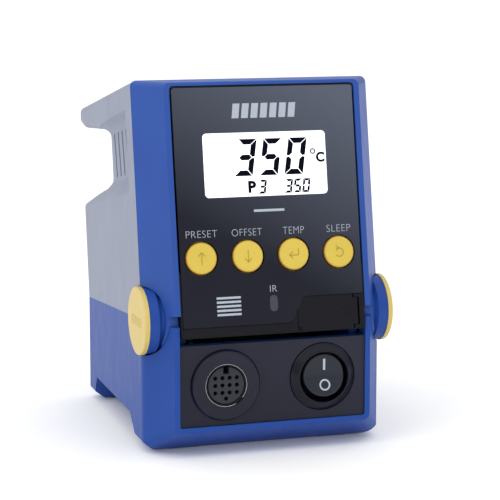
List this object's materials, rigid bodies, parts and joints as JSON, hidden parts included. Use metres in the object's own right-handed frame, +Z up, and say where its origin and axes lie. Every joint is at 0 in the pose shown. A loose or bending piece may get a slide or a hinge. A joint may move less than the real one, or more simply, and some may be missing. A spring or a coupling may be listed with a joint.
{
  "type": "soldering iron station",
  "caption": "Bench soldering station control unit: blue and grey case with carrying handle, tilting display head, push buttons, iron socket and round power switch.",
  "frame": {"origin": "bottom centre of the bounding box, on the plane that the rubber feet stand on", "axes": "+X to the right seen from the front, +Y towards the back, +Z up; the display faces -Y"},
  "size_m": [0.095, 0.1278, 0.135],
  "materials": {
    "blue_plastic": "satin moulded",
    "grey_plastic": "fine textured",
    "dark_panel": "satin printed film",
    "trim_black": "matt",
    "black_gloss": "polished",
    "black_plastic": "matt",
    "yellow_plastic": "satin",
    "display_glass": "clear",
    "display_module": "back-lit",
    "circuit_board": "solder mask",
    "zinc_steel": "zinc plated",
    "spring_steel": "bright",
    "laminated_steel": "varnished laminations",
    "winding": "taped winding",
    "brass": "plated contacts",
    "aluminium": "extruded",
    "green_plastic": "moulded",
    "rubber": "moulded",
    "dark_filter": "infra-red filter"
  },
  "bodies": {
    "case": {"lower_case": "blue_plastic", "top_cover": "grey_plastic", "connector_panel": "dark_panel", "socket_collar": "dark_panel", "socket_snap_ring": "spring_steel", "socket_shell": "zinc_steel", "socket_insert": "black_plastic", "socket_pins": "brass", "switch_housing": "black_gloss", "switch_terminals": "brass", "transformer_core": "laminated_steel", "transformer_windings": "winding", "transformer_bracket": "zinc_steel", "bracket_screws": "zinc_steel", "power_board": "circuit_board", "capacitors": "black_plastic", "heat_sink": "aluminium", "triac": "black_plastic", "terminal_block": "green_plastic", "fuse": "brass", "mains_inlet": "black_plastic", "inlet_pins": "brass", "case_screws": "zinc_steel", "rubber_feet": "rubber", "left_pivot_bush": "brass", "right_pivot_bush": "brass", "left_knob_spring": "spring_steel", "right_knob_spring": "spring_steel"},
    "head": {"display_frame": "blue_plastic", "display_housing": "black_plastic", "front_panel": "dark_panel", "lower_trim": "trim_black", "lcd_window": "display_glass", "lcd_module": "display_module", "display_board": "circuit_board", "board_screws": "zinc_steel", "board_parts": "black_plastic", "buzzer": "black_plastic", "button_switches": "black_plastic", "ir_window": "dark_filter", "ir_receiver": "black_plastic", "usb_port": "zinc_steel"},
    "preset_key": {"preset_button": "yellow_plastic"},
    "offset_key": {"offset_button": "yellow_plastic"},
    "temp_key": {"temp_button": "yellow_plastic"},
    "sleep_key": {"sleep_button": "yellow_plastic"},
    "usb_flap": {"usb_cover": "trim_black"},
    "rocker": {"switch_rocker": "black_gloss"},
    "left_release": {"left_knob": "blue_plastic", "left_knob_cap": "yellow_plastic", "left_knob_clip": "spring_steel"},
    "right_release": {"right_knob": "blue_plastic", "right_knob_cap": "yellow_plastic", "right_knob_clip": "spring_steel"}
  },
  "joints": [
    {"name": "head_tilt", "type": "hinge", "parent": "case", "child": "head", "pos_m": [0, -0.04649, 0.04915], "axis": [1, 0, 0], "range_deg": [0, 9]},
    {"name": "preset_press", "type": "slide", "parent": "head", "child": "preset_key", "axis": [0, 0.9852, -0.1712], "range_m": [0, 0.0008], "stiffness_N_per_m": 900},
    {"name": "offset_press", "type": "slide", "parent": "head", "child": "offset_key", "axis": [0, 0.9852, -0.1712], "range_m": [0, 0.0008], "stiffness_N_per_m": 900},
    {"name": "temp_press", "type": "slide", "parent": "head", "child": "temp_key", "axis": [0, 0.9852, -0.1712], "range_m": [0, 0.0008], "stiffness_N_per_m": 900},
    {"name": "sleep_press", "type": "slide", "parent": "head", "child": "sleep_key", "axis": [0, 0.9852, -0.1712], "range_m": [0, 0.0008], "stiffness_N_per_m": 900},
    {"name": "usb_cover_swing", "type": "hinge", "parent": "head", "child": "usb_flap", "pos_m": [0.0317, -0.06084, 0.05164], "axis": [0, 0.1712, 0.9852], "range_deg": [0, 90]},
    {"name": "rocker_tip", "type": "hinge", "parent": "case", "child": "rocker", "pos_m": [0.0189, -0.05679, 0.0272], "axis": [1, 0, 0], "range_deg": [0, 15]},
    {"name": "left_release_push", "type": "slide", "parent": "case", "child": "left_release", "axis": [1, 0, 0], "range_m": [0, 0.001], "stiffness_N_per_m": 2000},
    {"name": "right_release_push", "type": "slide", "parent": "case", "child": "right_release", "axis": [-1, 0, 0], "range_m": [0, 0.001], "stiffness_N_per_m": 2000}
  ]
}
